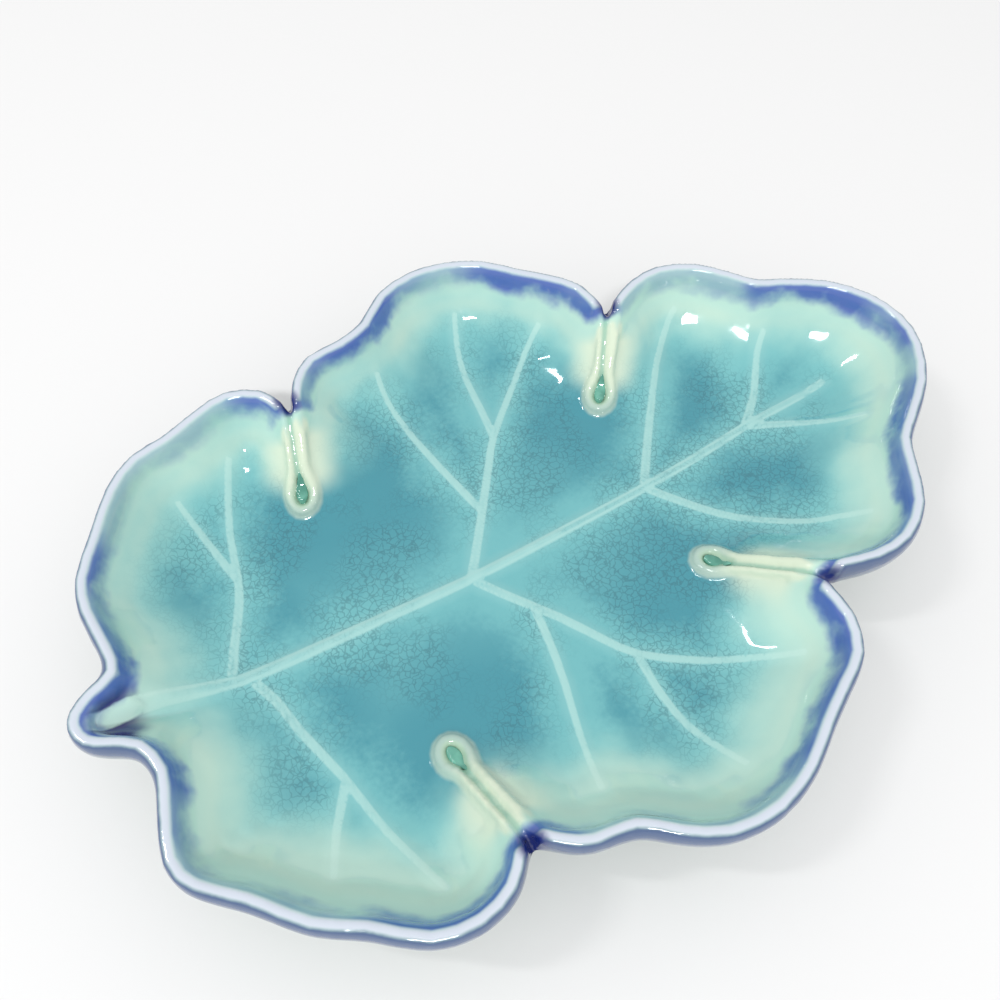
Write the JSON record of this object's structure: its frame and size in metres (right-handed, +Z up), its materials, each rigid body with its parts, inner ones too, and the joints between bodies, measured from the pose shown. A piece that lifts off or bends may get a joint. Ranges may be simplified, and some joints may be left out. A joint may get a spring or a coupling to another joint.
{
  "type": "ring dish",
  "caption": "Leaf-shaped glazed ceramic ring dish with lobes pinched at folds, a rolled rim, raised veins and a low oval foot.",
  "frame": {"origin": "on the table, under the middle of the dish's bounding box", "axes": "+X from the stem to the tip of the leaf, +Y to the leaf's left side, +Z up"},
  "size_m": [0.1228, 0.0902, 0.015],
  "materials": {
    "glaze": "gloss",
    "rim_glaze": "gloss",
    "vein_glaze": "gloss",
    "pooled_glass": "gloss",
    "bare_clay": "matte"
  },
  "bodies": {
    "root": {"leaf_body": "glaze", "foot_ring": "bare_clay", "midrib": "vein_glaze", "rim_tip": "rim_glaze", "rim_middle_left": "rim_glaze", "rim_base_left": "rim_glaze", "rim_base_right": "rim_glaze", "rim_middle_right": "rim_glaze", "vein_base_left": "vein_glaze", "vein_base_right": "vein_glaze", "vein_middle_left": "vein_glaze", "vein_middle_right": "vein_glaze", "vein_tip_left": "vein_glaze", "vein_tip_right": "vein_glaze", "vein_point_left": "vein_glaze", "vein_point_right": "vein_glaze", "branch_base_left": "vein_glaze", "branch_base_right": "vein_glaze", "branch_inner_left": "vein_glaze", "branch_outer_left": "vein_glaze", "branch_inner_right": "vein_glaze", "branch_outer_right": "vein_glaze", "pool_tip_left": "pooled_glass", "pool_base_left": "pooled_glass", "pool_base_right": "pooled_glass", "pool_tip_right": "pooled_glass"}
  },
  "joints": []
}
